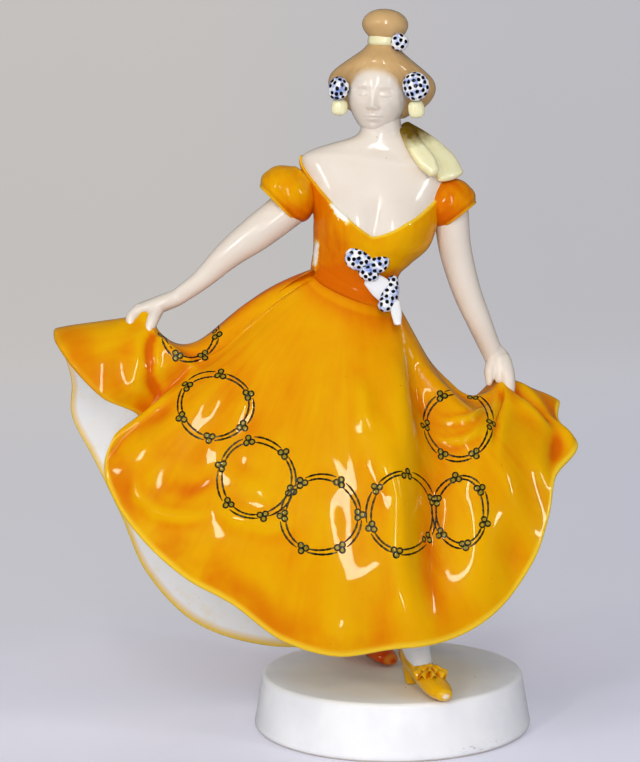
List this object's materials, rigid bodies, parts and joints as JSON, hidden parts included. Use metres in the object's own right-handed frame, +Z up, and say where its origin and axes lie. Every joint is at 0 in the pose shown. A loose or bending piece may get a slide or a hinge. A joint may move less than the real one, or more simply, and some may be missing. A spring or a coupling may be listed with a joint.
{
  "type": "ceramic dancer figurine",
  "caption": "Glazed ceramic figurine of a dancer who holds out a wide swinging skirt with both hands, standing on a round hollow plinth.",
  "frame": {"origin": "centre of the plinth's flat underside", "axes": "+Z up through the figure, -Y towards the figure's front, +X towards its left hand"},
  "size_m": [0.137, 0.0738, 0.1897],
  "materials": {
    "orange_glaze": "glossy, hand-painted translucent orange over white glaze",
    "white_glaze": "glossy white glaze",
    "skin_glaze": "glossy ivory glaze",
    "cream_glaze": "glossy pale yellow glaze",
    "hair_glaze": "glossy tan glaze",
    "spotted_glaze": "glossy white glaze with painted dark spots",
    "yellow_glaze": "glossy yellow glaze",
    "rust_glaze": "glossy rust-orange glaze"
  },
  "bodies": {
    "root": {"plinth": "white_glaze", "skirt": "orange_glaze", "bodice": "orange_glaze", "hips": "white_glaze", "bust": "skin_glaze", "head": "skin_glaze", "hair": "hair_glaze", "bun_band": "cream_glaze", "bun": "hair_glaze", "bun_bow": "spotted_glaze", "hair_bow_right": "spotted_glaze", "hair_bow_left": "spotted_glaze", "hair_ribbon_right": "cream_glaze", "hair_ribbon_left": "cream_glaze", "sleeve_right": "orange_glaze", "sleeve_left": "orange_glaze", "shoulder_ribbon_near": "cream_glaze", "shoulder_ribbon_far": "cream_glaze", "arm_right": "skin_glaze", "arm_left": "skin_glaze", "bow_loop_right": "spotted_glaze", "bow_loop_left": "spotted_glaze", "bow_end": "spotted_glaze", "sash": "white_glaze", "waist_bow": "spotted_glaze", "sash_tail": "white_glaze", "shoe_front": "yellow_glaze", "leg_front": "white_glaze", "rosette_front": "yellow_glaze", "shoe_rear": "rust_glaze", "leg_rear": "white_glaze", "rosette_rear": "rust_glaze"}
  },
  "joints": []
}
